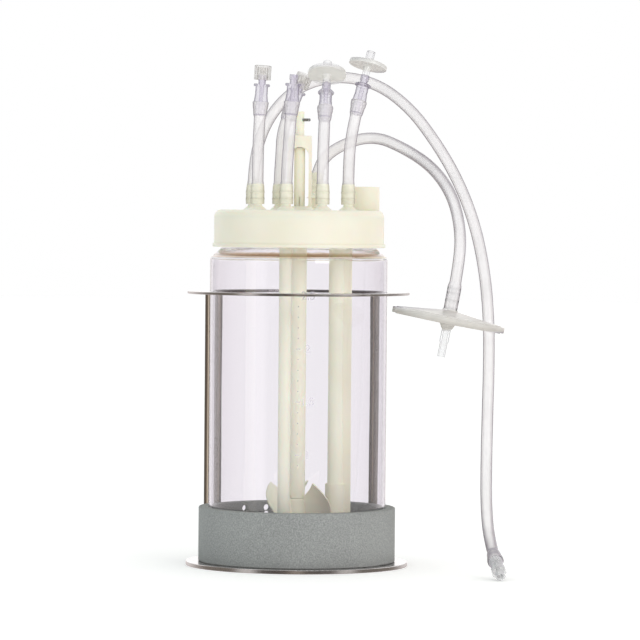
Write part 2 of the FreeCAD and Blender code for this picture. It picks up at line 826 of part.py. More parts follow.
# Vent filter: the seam between its covers is z = 0, and the hose comes in from above.
def vent_upper():
    cover = lathe([
        (0, vent_chamber_depth), (vent_chamber_radius, vent_chamber_depth), (vent_chamber_radius, 0),
        (vent_radius, 0), (vent_radius, vent_rim_thickness, 0.6),
        (vent_body_radius, vent_rim_thickness), (vent_body_radius, vent_body_thickness),
        (vent_hub_radius, vent_hub_z), (vent_hub_radius, vent_barb_z), (0, vent_barb_z),
    ])
    barb = vent_barb_form().mirror(Vector(0, 0, 0), Vector(0, 0, 1)).translated(Vector(0, 0, vent_barb_z))
    whole = cover.fuse(barb)
    return whole.cut(rod(vent_bore, 0, vent_barb_z + vent_barb_length)).removeSplitter().Solids[0]


def vent_lower():
    foot = -vent_hub_z
    end = foot - vent_spigot_length
    step = foot - vent_spigot_step
    cover = lathe([
        (0, -vent_chamber_depth), (vent_chamber_radius, -vent_chamber_depth), (vent_chamber_radius, 0),
        (vent_radius, 0), (vent_radius, -vent_rim_thickness, 0.6),
        (vent_body_radius, -vent_rim_thickness), (vent_body_radius, -vent_body_thickness),
        (vent_hub_radius, -vent_body_thickness - 0.6), (vent_spigot_radius + 0.6, foot),
        (vent_spigot_radius, foot), (vent_spigot_radius, step), (vent_spigot_tip, step),
        (vent_spigot_tip, end), (0, end),
    ])
    return cover.cut(rod(vent_bore, end, 0)).removeSplitter().Solids[0]


def vent_sheet():
    half = vent_membrane / 2
    return rod(vent_chamber_radius - seat_gap, -half, half)


os.makedirs("parts", exist_ok=True)

save("base_plate", base_plate())
save("base_screws", base_screws())
for rod_name, rod_angle in rod_angles.items():
    save(rod_name, stand_rod(rod_angle))
save("top_ring", top_ring())
save("holder_collar", holder_collar())
save("vessel_jar", vessel_jar())
save("jar_neck", jar_neck())
save("neck_gasket", neck_gasket())
save("head_plate", head_plate())
save("plate_skirt", plate_skirt())
save("pipe_sockets", pipe_sockets())
save("bearing_tower", bearing_tower())
save("sensor_boss", sensor_boss())
save("hose_barbs", hose_barbs())
save("shaft_bush_upper", shaft_bush_upper())
save("shaft_bush_lower", shaft_bush_lower())
save("shaft_seal", shaft_seal())
save("stirrer_shaft", stirrer_shaft())
save("drive_pin", drive_pin())
save("impeller", impeller())
save("dip_tube", dip_tube())
save("probe_well", probe_well())

# Short hoses, each with a luer fitting
for hose_name in short_routes:
    save("hose_" + hose_name, make_hose(hose_name))
    end_at, end_axis = hose_end(hose_name)
    save("luer_" + hose_name, placed(luer_fitting(), end_at, end_axis))

# Long hose, with its fitting on the bench
save("hose_long", make_hose("long"))
foot_at, foot_axis = hose_end("long")
save("luer_long", placed(luer_fitting(0.0), foot_at, foot_axis))

for cap_name in ("front_left", "rear"):
    end_at, end_axis = hose_end(cap_name)
    cap_at = end_at.add(end_axis * (luer_top - cap_overlap))
    save("luer_cap_" + cap_name, placed(luer_cap(), cap_at, end_axis))

for disc_name in ("front_right", "right"):
    end_at, end_axis = hose_end(disc_name)
    disc_at = end_at.add(end_axis * luer_top)
    save("disc_lower_" + disc_name, placed(disc_lower(), disc_at, end_axis))
    save("disc_upper_" + disc_name, placed(disc_upper(), disc_at, end_axis))
    save("disc_sheet_" + disc_name, placed(disc_sheet(), disc_at, end_axis))

# Vent hose and its filter
save("hose_vent", make_hose("vent"))
vent_end, vent_axis = hose_end("vent")
vent_at = vent_end.add(vent_axis * vent_barb_z)
save("vent_upper", placed(vent_upper(), vent_at, vent_axis * -1))
save("vent_lower", placed(vent_lower(), vent_at, vent_axis * -1))
save("vent_sheet", placed(vent_sheet(), vent_at, vent_axis * -1))
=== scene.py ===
import json
import math

import bmesh
import bpy
from mathutils import Matrix, Quaternion, Vector


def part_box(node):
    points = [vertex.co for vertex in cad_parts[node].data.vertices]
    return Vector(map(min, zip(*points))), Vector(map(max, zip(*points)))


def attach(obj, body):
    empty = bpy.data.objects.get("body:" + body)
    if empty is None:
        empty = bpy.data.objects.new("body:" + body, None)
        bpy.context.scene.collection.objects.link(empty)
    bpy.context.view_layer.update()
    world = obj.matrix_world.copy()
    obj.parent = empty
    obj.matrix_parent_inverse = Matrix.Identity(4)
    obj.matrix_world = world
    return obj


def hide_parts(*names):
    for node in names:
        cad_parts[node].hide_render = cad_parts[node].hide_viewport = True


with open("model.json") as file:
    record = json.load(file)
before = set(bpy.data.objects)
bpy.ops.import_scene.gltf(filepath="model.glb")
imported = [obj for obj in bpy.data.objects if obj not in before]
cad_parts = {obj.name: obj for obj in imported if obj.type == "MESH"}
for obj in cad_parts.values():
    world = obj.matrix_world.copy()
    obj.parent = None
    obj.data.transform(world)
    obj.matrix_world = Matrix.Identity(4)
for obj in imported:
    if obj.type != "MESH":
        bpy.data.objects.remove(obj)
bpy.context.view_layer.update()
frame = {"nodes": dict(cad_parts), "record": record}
nodes = frame["nodes"]
print("frame loaded:", len(nodes), "nodes")


def linear(code):
    # sRGB hex to linear
    parts = [int(code[i:i + 2], 16) / 255 for i in (1, 3, 5)]
    return tuple(c / 12.92 if c <= 0.04045 else ((c + 0.055) / 1.055) ** 2.4 for c in parts) + (1.0,)


def link(name, data):
    obj = bpy.data.objects.new(name, data)
    bpy.context.scene.collection.objects.link(obj)
    return obj


def setSockets(tree, node, values):
    # Values by socket name or number, or in order from the first. A node or a socket as a value is linked.
    for name, value in values.items() if isinstance(values, dict) else enumerate(values):
        if isinstance(value, bpy.types.Node):
            value = value.outputs[0]
        if isinstance(value, bpy.types.NodeSocket):
            tree.links.new(value, node.inputs[name])
        else:
            node.inputs[name].default_value = value


def addNode(tree, kind, values=(), stops=(), **settings):
    # One node with its settings and its sockets. Stops are a ramp's places and colours.
    node = tree.nodes.new(kind)
    for name, value in settings.items():
        setattr(node, name, value)
    setSockets(tree, node, values)
    if stops:
        elements = node.color_ramp.elements
        while len(elements) < len(stops):
            elements.new(0.5)
        for element, (at, code) in zip(elements, stops):
            element.position, element.color = at, linear(code)
    return node


def newMaterial(name):
    material = bpy.data.materials.new(name)
    material.use_nodes = True
    tree = material.node_tree
    tree.nodes.clear()
    shader = addNode(tree, "ShaderNodeBsdfPrincipled")
    addNode(tree, "ShaderNodeOutputMaterial", {"Surface": shader})
    return material, tree, shader, addNode(tree, "ShaderNodeTexCoord").outputs["Object"]


def letThrough(tree, shader, rays, shade="#FFFFFF"):
    # These rays go on to what is behind the surface, dimmed by the shade.
    path = addNode(tree, "ShaderNodeLightPath")
    passing = path.outputs[rays[0]]
    for ray in rays[1:]:
        passing = addNode(tree, "ShaderNodeMath", (passing, path.outputs[ray]), operation="MAXIMUM")
    clear = addNode(tree, "ShaderNodeBsdfTransparent", {"Color": linear(shade)})
    mix = addNode(tree, "ShaderNodeMixShader", (passing, shader, clear))
    setSockets(tree, tree.nodes["Material Output"], {"Surface": mix})


lampRays = ("Is Shadow Ray", "Is Diffuse Ray")  # light shines through clear plastic


def mouldedPolypropylene(name, dark, light):
    # Natural cream polypropylene, moulded: waxy, a little light goes in, faint mottling.
    material, tree, shader, place = newMaterial(name)
    mottle = addNode(tree, "ShaderNodeTexNoise", {"Vector": place, "Scale": 28.0, "Detail": 3.0})  # 36 mm clouds
    tone = addNode(tree, "ShaderNodeValToRGB", (mottle,), [(0.3, dark), (0.7, light)])
    grain = addNode(tree, "ShaderNodeTexNoise", {"Vector": place, "Scale": 900.0, "Detail": 2.0})  # 1 mm satin texture
    bump = addNode(tree, "ShaderNodeBump", {"Height": grain, "Strength": 0.15, "Distance": 0.0002})
    setSockets(tree, shader, {"Base Color": tone, "Roughness": 0.42, "IOR": 1.49, "Subsurface Weight": 0.2,
                              "Subsurface Scale": 0.003, "Normal": bump})
    return material


# heights in metres: the brown band of painted shade, standing in for the shaded underside of the head plate seen bent
# through the shoulder, and the corners, a ramp of how much of the light the wall bends at the shoulder's lower corner
# and from the neck up, where the rest goes straight through
jarFinish = {"paintedShadeBandFrom": 0.2293, "paintedShadeBandTo": 0.2340, "cornersFrom": 0.2280, "cornersTo": 0.2400,
             "paintedShadeBand": [(0.0, "#FFFFFF"), (0.04, "#B09779"), (0.4, "#CBB69C"), (0.65, "#E0D2C0"), (0.75, "#FFFFFF")],
             "corners": [(0.0, "#FFFFFF"), (0.03, "#707070"), (0.10, "#707070"), (0.13, "#FFFFFF"),
                         (0.60, "#FFFFFF"), (0.65, "#909090")],
             "wall": [(0.0, "#FEFCFF"), (0.6, "#FDF9FE"), (1.0, "#DCD6EF")], "drawMarks": (90.0, 90.0, 3.0)}


def jarPolycarbonate():
    # Clear polycarbonate, blow moulded: sharp highlights, a violet cast that deepens at the edges, and a brown band of
    # painted shade at the shoulder, set by height, standing in for the shaded underside of the head plate seen through
    # it.
    material, tree, shader, place = newMaterial("jarPolycarbonate")
    facing = addNode(tree, "ShaderNodeLayerWeight", {"Blend": 0.5}).outputs["Facing"]
    wall = addNode(tree, "ShaderNodeValToRGB", (facing,), jarFinish["wall"])
    height = addNode(tree, "ShaderNodeSeparateXYZ", (place,)).outputs[2]
    along = addNode(tree, "ShaderNodeMapRange", (height, jarFinish["paintedShadeBandFrom"], jarFinish["paintedShadeBandTo"]))
    # painted shade: a tan band at the shoulder's height, multiplied into the wall's colour
    paintedShadeBand = addNode(tree, "ShaderNodeValToRGB", (along,), jarFinish["paintedShadeBand"])
    both = addNode(tree, "ShaderNodeMix", {0: 1.0, 6: wall, 7: paintedShadeBand}, data_type="RGBA", blend_type="MULTIPLY")
    corner = addNode(tree, "ShaderNodeMapRange", (height, jarFinish["cornersFrom"], jarFinish["cornersTo"]))
    dim = addNode(tree, "ShaderNodeValToRGB", (corner,), jarFinish["corners"])
    graze = addNode(tree, "ShaderNodeMapRange", (facing, 0.8, 1.0, 1.0, 0.5))
    solid = addNode(tree, "ShaderNodeMath", (dim, graze), operation="MULTIPLY")
    stretch = addNode(tree, "ShaderNodeMapping", {"Vector": place, "Scale": jarFinish["drawMarks"]})
    flow = addNode(tree, "ShaderNodeTexNoise", {"Vector": stretch, "Scale": 1.0, "Detail": 2.0})
    bump = addNode(tree, "ShaderNodeBump", {"Height": flow, "Strength": 0.08, "Distance": 0.0005})
    setSockets(tree, shader, {"Base Color": both.outputs[2], "Alpha": solid, "Roughness": 0.0, "IOR": 1.58,
                              "Transmission Weight": 1.0, "Normal": bump})
    letThrough(tree, shader, lampRays)
    return material


# the clearer plastic of a filter's stems, and the length in metres over which the body fades to it
stemFinish = {"rim": (0.4, 0.8), "colours": ("#E6E4E8", "#7D7783"), "cover": (0.14, 0.85), "fade": 0.002}


def seeThrough(name, middle, edge, cover, roughness, ior, stem=None, rim=(0.15, 0.8),
               mottleAndGlints=((80.0, 80.0, 80.0), "#F6F6F6"), shade="#FFFFFF"):
    # Clear or milky moulded plastic, thin: what is behind it shows, dimmed where the way through it is long.
    # A stem is (centre, axis, half height): past that height from the centre the plastic is clearer.
    material, tree, shader, place = newMaterial(name)
    facing = addNode(tree, "ShaderNodeLayerWeight", {"Blend": 0.5}).outputs["Facing"]
    # faint, the mottling is the plastic's own uneven tone; strong and stretched, on the fittings and caps, it is
    # painted streaks of shade and highlight
    stretch = addNode(tree, "ShaderNodeMapping", {"Vector": place, "Scale": mottleAndGlints[0]})
    cloud = addNode(tree, "ShaderNodeTexNoise", {"Vector": stretch, "Scale": 1.0, "Detail": 2.0})
    tone = addNode(tree, "ShaderNodeValToRGB", (facing,), [(rim[0], middle), (rim[1], edge)])
    soft = addNode(tree, "ShaderNodeValToRGB", (cloud,), [(0.4, mottleAndGlints[1]), (0.6, "#FFFFFF")])
    both = addNode(tree, "ShaderNodeMix", {0: 1.0, 6: tone, 7: soft}, data_type="RGBA", blend_type="MULTIPLY")
    hides, colour = addNode(tree, "ShaderNodeMapRange", (facing, *rim, *cover)), both.outputs[2]
    if stem:
        centre, axis, half = stem
        apart = addNode(tree, "ShaderNodeVectorMath", (place, centre), operation="SUBTRACT")
        along = addNode(tree, "ShaderNodeVectorMath", (apart, axis), operation="DOT_PRODUCT")
        away = addNode(tree, "ShaderNodeMath", (along.outputs["Value"],), operation="ABSOLUTE")
        past = addNode(tree, "ShaderNodeMapRange", (away, half, half + stemFinish["fade"], 0.0, 1.0))
        glass = addNode(tree, "ShaderNodeValToRGB", (facing,), list(zip(stemFinish["rim"], stemFinish["colours"])))
        thin = addNode(tree, "ShaderNodeMapRange", (facing, *stemFinish["rim"], *stemFinish["cover"]))
        hides = addNode(tree, "ShaderNodeMix", {0: past, 2: hides, 3: thin}, data_type="FLOAT")
        colour = addNode(tree, "ShaderNodeMix", {0: past, 6: colour, 7: glass}, data_type="RGBA").outputs[2]
    setSockets(tree, shader, {"Base Color": colour, "Alpha": hides, "Roughness": roughness, "IOR": ior})
    letThrough(tree, shader, lampRays, shade)
    return material


def brushedSteel(name, grain, dark, bright, edge="#FFFFFF"):
    # Stainless steel, brushed or drawn: neutral, with fine scratches that stretch the highlights. Where it turns away
    # its
    # colour is darkened towards the edge tone: painted shade, standing in for a dark room mirrored at its sides.
    material, tree, shader, place = newMaterial(name)
    stretch = addNode(tree, "ShaderNodeMapping", {"Vector": place, "Scale": grain})
    scratch = addNode(tree, "ShaderNodeTexNoise", {"Vector": stretch, "Scale": 1.0, "Detail": 3.0})
    rough = addNode(tree, "ShaderNodeMapRange", {0: scratch, 3: 0.12, 4: 0.3})
    tone = addNode(tree, "ShaderNodeValToRGB", (scratch,), [(0.3, dark), (0.7, bright)])
    facing = addNode(tree, "ShaderNodeLayerWeight", {"Blend": 0.5}).outputs["Facing"]
    # painted shade: the colour darkens towards the edge tone where the surface turns away
    paintedEdgeShade = addNode(tree, "ShaderNodeValToRGB", (facing,), [(0.1, "#FFFFFF"), (0.55, edge)])
    both = addNode(tree, "ShaderNodeMix", {0: 1.0, 6: tone, 7: paintedEdgeShade}, data_type="RGBA", blend_type="MULTIPLY")
    bump = addNode(tree, "ShaderNodeBump", {"Height": scratch, "Strength": 0.12, "Distance": 0.00005})
    setSockets(tree, shader, {"Base Color": both.outputs[2], "Metallic": 1.0, "Roughness": rough, "Normal": bump})
    return material


def graniteFoam():
    # Dense grey foam, cut: matt, with light and dark grains under a millimetre across.
    material, tree, shader, place = newMaterial("graniteFoam")
    grains = addNode(tree, "ShaderNodeTexNoise", {"Vector": place, "Scale": 1100.0, "Detail": 3.0, "Roughness": 0.65})
    cells = addNode(tree, "ShaderNodeTexVoronoi", {"Vector": place, "Scale": 620.0})
    cloud = addNode(tree, "ShaderNodeTexNoise", {"Vector": place, "Scale": 22.0, "Detail": 2.0})
    tone = addNode(tree, "ShaderNodeValToRGB", (grains,), [(0.3, "#868886"), (0.5, "#999B9A"), (0.7, "#B0B1B0")])
    wide = addNode(tree, "ShaderNodeValToRGB", (cloud,), [(0.3, "#F2F2F2"), (0.7, "#FFFFFF")])
    both = addNode(tree, "ShaderNodeMix", {0: 1.0, 6: tone, 7: wide}, data_type="RGBA", blend_type="MULTIPLY")
    relief = addNode(tree, "ShaderNodeMath", (grains, cells.outputs["Distance"]), operation="ADD")
    bump = addNode(tree, "ShaderNodeBump", {"Height": relief, "Strength": 0.35, "Distance": 0.0004})
    setSockets(tree, shader, {"Base Color": both.outputs[2], "Roughness": 0.92, "IOR": 1.45, "Normal": bump})
    return material


def whitePolymer(name, dark, light, roughness):
    # White polymer, cast, turned or moulded: a faint cloud in the white, from paper-like to satin by its roughness.
    material, tree, shader, place = newMaterial(name)
    cloud = addNode(tree, "ShaderNodeTexNoise", {"Vector": place, "Scale": 120.0, "Detail": 2.0})  # 8 mm clouds
    tone = addNode(tree, "ShaderNodeValToRGB", (cloud,), [(0.3, dark), (0.7, light)])
    setSockets(tree, shader, {"Base Color": tone, "Roughness": roughness})
    return material


cream = mouldedPolypropylene("mouldedPolypropylene", "#EDE8D5", "#F2EDDD")
# a paler, lighter copy of the cream: painted light, offsetting the shade on the parts inside the jar and in the tower
paintedLightCream = mouldedPolypropylene("polypropylenePaintedLighter", "#F0ECD8", "#F4F1E0")
jarClear = jarPolycarbonate()
markClear = seeThrough("raisedPolycarbonate", "#E6E1EC", "#A39CB4", (0.35, 0.85), 0.1, 1.58)
# moulded polycarbonate: hard and glossy, violet grey where its wall turns away; its tall grey streaks are painted
# shade between painted highlights, standing in for the glints on its body
fittingClear = seeThrough("fittingPolycarbonate", "#D6D0DC", "#5F586A", (0.34, 0.92), 0.08, 1.58, rim=(0.28, 0.7),
                          mottleAndGlints=((400.0, 400.0, 120.0), "#E2DEE8"))
# moulded styrene: clear and a little warmer; grey streaks over its fine ribs are painted shade and highlight,
# standing in for the glints on the ribs
capClear = seeThrough("capStyrene", "#E8E4E1", "#8A8481", (0.25, 0.8), 0.1, 1.59, rim=(0.2, 0.7),
                      mottleAndGlints=((620.0, 620.0, 260.0), "#C9C5C2"))
# the fitting low over the bench throws a soft shadow on it; its colours are lighter than the other fittings':
# painted light, offsetting the shade it throws on itself
lowFitting = seeThrough("fittingNearBench", "#FFFFFF", "#B5AFBB", (0.25, 0.85), 0.12, 1.58, rim=(0.4, 0.85),
                        mottleAndGlints=((160.0, 160.0, 160.0), "#F6F4F8"), shade="#B8B8B8")
# extruded silicone: soft and milky, hazier at its edges. What shows through it is painted on its outer wall: the
# barb in its own cream, and darker lines at its ridges, at the fitting's end and at the vent barb's steps, which are
# painted shade standing in for the shading of these edges.
hoseTones = {
    "hose": seeThrough("siliconeHose", "#F1ECEE", "#99929A", (0.4, 0.95), 0.2, 1.41, rim=(0.28, 0.6)),
    "bore": seeThrough("siliconeBore", "#F5F1F3", "#A7A0A7", (0.12, 0.7), 0.2, 1.41, rim=(0.3, 0.8)),
    "barb": seeThrough("barbThroughHose", "#F0EDDC", "#BFBAA6", (0.6, 0.97), 0.3, 1.41, rim=(0.3, 0.7)),
    "ridge": seeThrough("ridgeThroughHose", "#DEDAC8", "#A9A492", (0.75, 0.97), 0.3, 1.41, rim=(0.3, 0.7)),
    "fitting": seeThrough("fittingEndThroughHose", "#B7B0BC", "#8F8896", (0.7, 0.95), 0.3, 1.41, rim=(0.3, 0.7)),
    "step": seeThrough("barbStepThroughHose", "#DEDADC", "#57515A", (0.5, 0.97), 0.3, 1.41, rim=(0.3, 0.6)),
}
plateSteel = brushedSteel("brushedSteel", (40.0, 1500.0, 1500.0), "#B2AFAE", "#C6C3C2")
# the rods and the pin get painted shade at their sides through their dark edge tones
rodSteel = brushedSteel("drawnSteel", (1500.0, 1500.0, 30.0), "#C6BAAB", "#DACEBE", edge="#625E5E")
pinSteel = brushedSteel("polishedSteel", (600.0, 600.0, 600.0), "#E6E6E8", "#F4F4F5", edge="#4A4A4C")
foam = graniteFoam()
membrane = whitePolymer("filterMembrane", "#E9E6E1", "#F3F0EC", 0.85)
bushWhite = whitePolymer("turnedAcetal", "#E6E6E4", "#F0F0EE", 0.4)
sealWhite = whitePolymer("mouldedSilicone", "#DADAD6", "#E6E6E2", 0.6)

# each filter's two tones and half the height of its body, in metres
filters = {"disc_{}_front_right": ("#EAE8E6", "#CECBC8", 0.0035), "disc_{}_right": ("#EAE8E6", "#CECBC8", 0.0035),
           "vent_{}": ("#D2CDC7", "#BDB7B0", 0.0065)}


def middleOf(name):
    low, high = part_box(name)
    return (Vector(low) + Vector(high)) / 2


# these parts take the lighter copy of the cream, which is painted light
byNode = dict.fromkeys(["dip_tube", "probe_well", "stirrer_shaft", "impeller", "pipe_sockets"], paintedLightCream)
byNode.update(dict.fromkeys(["stand_rod_left", "stand_rod_right"], rodSteel))
byNode.update(dict.fromkeys(["luer_cap_front_left", "luer_cap_rear"], capClear), luer_long=lowFitting)
for key, (middle, edge, half) in filters.items():
    # moulded polypropylene: the body is milky and nearly hides what is behind it, and the stems are clearer
    centre = middleOf(key.format("sheet"))
    axis = (middleOf(key.format("upper")) - middleOf(key.format("lower"))).normalized()
    shell = seeThrough("filterShell_" + key.format("pp"), middle, edge, (0.8, 0.97), 0.3, 1.49, (centre, axis, half))
    byNode.update({key.format("lower"): shell, key.format("upper"): shell})
centre, half = middleOf("vent_sheet"), filters["vent_{}"][2]
axis = (middleOf("vent_upper") - centre).normalized()
byNode["vent_upper"] = seeThrough("filterCone", "#DAD6D1", "#CFCAC5", (0.6, 0.92), 0.3, 1.49, (centre, axis, half))

bySlot = {
    "stainless_steel": plateSteel, "bright_steel": pinSteel, "grey_foam": foam, "clear_jar": jarClear,
    "white_silicone": sealWhite, "cream_plastic": cream, "white_plastic": bushWhite, "clear_hose": hoseTones["hose"],
    "clear_fitting": fittingClear, "filter_shell": byNode["vent_lower"], "filter_membrane": membrane,
}
for part in frame["record"]["subparts"]:
    for materialSlot in nodes[part["node"]].material_slots:
        materialSlot.material = byNode.get(part["node"], bySlot[part["material_slot"]])
print("materials set")

# one blown wall from the foot to the rim, in mm; pairs are (outside, inside), and the guards are rows of points that
# keep the straight walls straight beside the rounds
jar = {"radius": 66.0, "wall": 2.0, "foot": 3.0, "footRound": (8.0, 6.0), "shoulder": (229.5, 228.2),
       "neck": (235.6, 234.6), "neckRadius": 58.5, "neckWall": 2.5, "rim": 259.5, "bendRound": 0.6,
       "lowGuard": 20.0, "highGuard": (226.0, 225.0), "neckGuard": (238.0, 236.5), "steps": 160}


def fromBmesh(name, mesh, material):
    # A finished piece that rides on the vessel, smooth but for its sharp edges.
    for face in mesh.faces:
        face.smooth = True
    for edge in mesh.edges:
        if len(edge.link_faces) == 2:
            edge.smooth = edge.calc_face_angle(0.0) < math.radians(35)
    data = bpy.data.meshes.new(name)
    mesh.to_mesh(data)
    mesh.free()
    data.materials.append(material)
    piece = link(name, data)
    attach(piece, "vessel")
    return piece


def spunOutline(outline, steps):
    # An outline of (radius, height) in mm, turned about the vertical axis.
    mesh = bmesh.new()
    verts = [mesh.verts.new((radius / 1000, 0, height / 1000)) for radius, height in outline]
    edges = [mesh.edges.new(pair) for pair in zip(verts, verts[1:])]
    bmesh.ops.spin(mesh, geom=verts + edges, cent=(0, 0, 0), axis=(0, 0, 1), angle=2 * math.pi,
                   steps=steps, use_merge=True)
    bmesh.ops.remove_doubles(mesh, verts=mesh.verts, dist=0.00001)
    bmesh.ops.recalc_face_normals(mesh, faces=mesh.faces)
    return mesh


def roundRings(mesh, places, size, segments):
    # Rounds the ring edges at the given (radius, height) in mm, found to a fiftieth of a millimetre.
    def at(vert, radius, height):
        return abs(vert.co.xy.length * 1000 - radius) < 0.02 and abs(vert.co.z * 1000 - height) < 0.02
    rings = [e for e in mesh.edges for radius, height in places if all(at(v, radius, height) for v in e.verts)]
    bmesh.ops.bevel(mesh, geom=rings, offset=size / 1000, offset_type="OFFSET", segments=segments, profile=0.5,
                    affect="EDGES", material=-1, clamp_overlap=True)


outer, neckOuter = jar["radius"], jar["neckRadius"]
inner, neckInner = outer - jar["wall"], neckOuter - jar["neckWall"]
under, floorHeight = jar["foot"], jar["foot"] + jar["wall"]
jarMesh = spunOutline([
    (0, under), (outer, under), (outer, jar["lowGuard"]), (outer, jar["highGuard"][0]), (outer, jar["shoulder"][0]),
    (neckOuter, jar["neck"][0]), (neckOuter, jar["neckGuard"][0]), (neckOuter, jar["rim"]), (neckInner, jar["rim"]),
    (neckInner, jar["neckGuard"][1]), (neckInner, jar["neck"][1]), (inner, jar["shoulder"][1]),
    (inner, jar["highGuard"][1]), (inner, jar["lowGuard"]), (inner, floorHeight), (0, floorHeight)], jar["steps"])
bends = [(outer, jar["shoulder"][0]), (neckOuter, jar["neck"][0]), (inner, jar["shoulder"][1]),
         (neckInner, jar["neck"][1])]
roundRings(jarMesh, [(outer, under)], jar["footRound"][0], 10)
roundRings(jarMesh, [(inner, floorHeight)], jar["footRound"][1], 8)
roundRings(jarMesh, bends, jar["bendRound"], 3)
jarPiece = fromBmesh("jarWall", jarMesh, jarClear)
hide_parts("vessel_jar", "jar_neck")

# 100 mL a dot, 500 mL a tick with its number, raised on the front of the wall, in mm
graduation = {"top": 202.0, "step": 7.75, "count": 17, "perNumber": 5, "dot": 0.42, "dotFlat": 0.5,
              "tick": (3.4, 0.6, 0.3), "raised": 0.12, "labels": ["2.5", "2", "1.5", "1"], "fontSize": 8.64,
              "beside": 7.2}


def drawnMesh(name, curve):
    # The mesh that Blender draws for a curve or a text.
    holder = link(name, curve)
    bpy.context.view_layer.update()
    mesh = bpy.data.meshes.new_from_object(holder.evaluated_get(bpy.context.evaluated_depsgraph_get()))
    bpy.data.objects.remove(holder)
    return mesh


def standOnJar(mesh, verts, across, height):
    # From flat at the origin, facing up, to the jar's front: upright, turned to face outwards.
    turn = Matrix.Rotation(math.asin(across / jar["radius"]), 4, "Z")
    upright = Matrix.Translation((0, -jar["radius"] / 1000, height / 1000)) @ Matrix.Rotation(math.pi / 2, 4, "X")
    bmesh.ops.transform(mesh, matrix=turn @ upright, verts=verts)


def addNumber(mesh, text, across, height):
    curve = bpy.data.curves.new("number", "FONT")
    curve.body = text
    curve.align_x, curve.align_y = "CENTER", "CENTER"
    curve.size = graduation["fontSize"] / 1000
    curve.extrude = graduation["raised"] / 1000
    curve.resolution_u = 6
    flat = drawnMesh("number", curve)
    before = set(mesh.verts)
    mesh.from_mesh(flat)
    standOnJar(mesh, [v for v in mesh.verts if v not in before], across, height)
    bpy.data.meshes.remove(flat)


markMesh = bmesh.new()
for index in range(graduation["count"]):
    height = graduation["top"] - index * graduation["step"]
    if index % graduation["perNumber"]:
        made = bmesh.ops.create_icosphere(markMesh, subdivisions=2, radius=graduation["dot"] / 1000)["verts"]
        bmesh.ops.scale(markMesh, vec=(1, 1, graduation["dotFlat"]), verts=made)
        standOnJar(markMesh, made, 0.0, height)
    else:
        made = bmesh.ops.create_cube(markMesh, size=0.001)["verts"]
        bmesh.ops.scale(markMesh, vec=graduation["tick"], verts=made)
        standOnJar(markMesh, made, 0.0, height)
        addNumber(markMesh, graduation["labels"][index // graduation["perNumber"]], graduation["beside"], height)
bmesh.ops.remove_doubles(markMesh, verts=markMesh.verts, dist=0.000002)
bmesh.ops.recalc_face_normals(markMesh, faces=markMesh.faces)
fromBmesh("jarGraduations", markMesh, markClear)
print("jar made")

# the same points as the frame's tubes, in metres
deck = 0.2647  # the top of the head plate
hoses = {
    "front_left": {"length": 0.0754, "points": [
        (-0.0310, -0.0250, deck + 0.0042), (-0.0310, -0.0250, deck + 0.0263),
        (-0.0306, -0.0245, deck + 0.0548), (-0.0291, -0.0249, deck + 0.0796)]},
    "front_inner": {"length": 0.0756, "points": [
        (-0.0097, -0.0390, deck + 0.0042), (-0.0097, -0.0390, deck + 0.0213),
        (-0.0079, -0.0386, deck + 0.0523), (-0.0060, -0.0390, deck + 0.0797)]},
    "front_right": {"length": 0.0740, "points": [
        (0.0170, -0.0360, deck + 0.0042), (0.0170, -0.0360, deck + 0.0318),
        (0.0176, -0.0368, deck + 0.0570), (0.0185, -0.0266, deck + 0.0760)]},
    "right": {"length": 0.0780, "points": [
        (0.0361, -0.0180, deck + 0.0042), (0.0361, -0.0180, deck + 0.0293),
        (0.0376, -0.0227, deck + 0.0558), (0.0436, -0.0175, deck + 0.0809)]},
    "rear": {"length": 0.0754, "points": [
        (-0.0153, 0.0370, deck + 0.0042), (-0.0153, 0.0370, deck + 0.0223),
        (-0.0140, 0.0330, deck + 0.0413), (-0.0132, 0.0285, deck + 0.0610),
        (-0.0064, 0.0260, deck + 0.0773)]},
    "vent": {"length": 0.2703, "points": [
        (0.0122, 0.0370, deck + 0.0132), (0.0122, 0.0370, deck + 0.0310), (0.0255, 0.0380, deck + 0.0470),
        (0.0545, 0.0275, deck + 0.0570), (0.0800, 0.0060, deck + 0.0458), (0.0990, -0.0210, deck + 0.0318),
        (0.1120, -0.0470, deck + 0.0123), (0.1176, -0.0680, deck - 0.0120), (0.1167, -0.0795, deck - 0.0370),
        (0.1102, -0.0800, deck - 0.0713)]},
    "long": {"length": 0.5744, "points": [
        (-0.0350, 0.0185, deck + 0.0042), (-0.0350, 0.0185, 0.3000), (-0.0255, 0.0285, 0.3320),
        (-0.0045, 0.0390, 0.3565), (0.0260, 0.0420, 0.3665), (0.0570, 0.0330, 0.3610), (0.0820, 0.0150, 0.3420),
        (0.1010, 0.0000, 0.3165), (0.1170, -0.0130, 0.2890), (0.1295, -0.0240, 0.2570), (0.1370, -0.0310, 0.2220),
        (0.1403, -0.0360, 0.1860), (0.1405, -0.0390, 0.1510), (0.1396, -0.0430, 0.1160), (0.1388, -0.0490, 0.0820),
        (0.1383, -0.0615, 0.0495), (0.1400, -0.0830, 0.0252), (0.1436, -0.1064, 0.0125)]},
}
hoseRadius, boreRadius = 4.3, 2.9  # mm
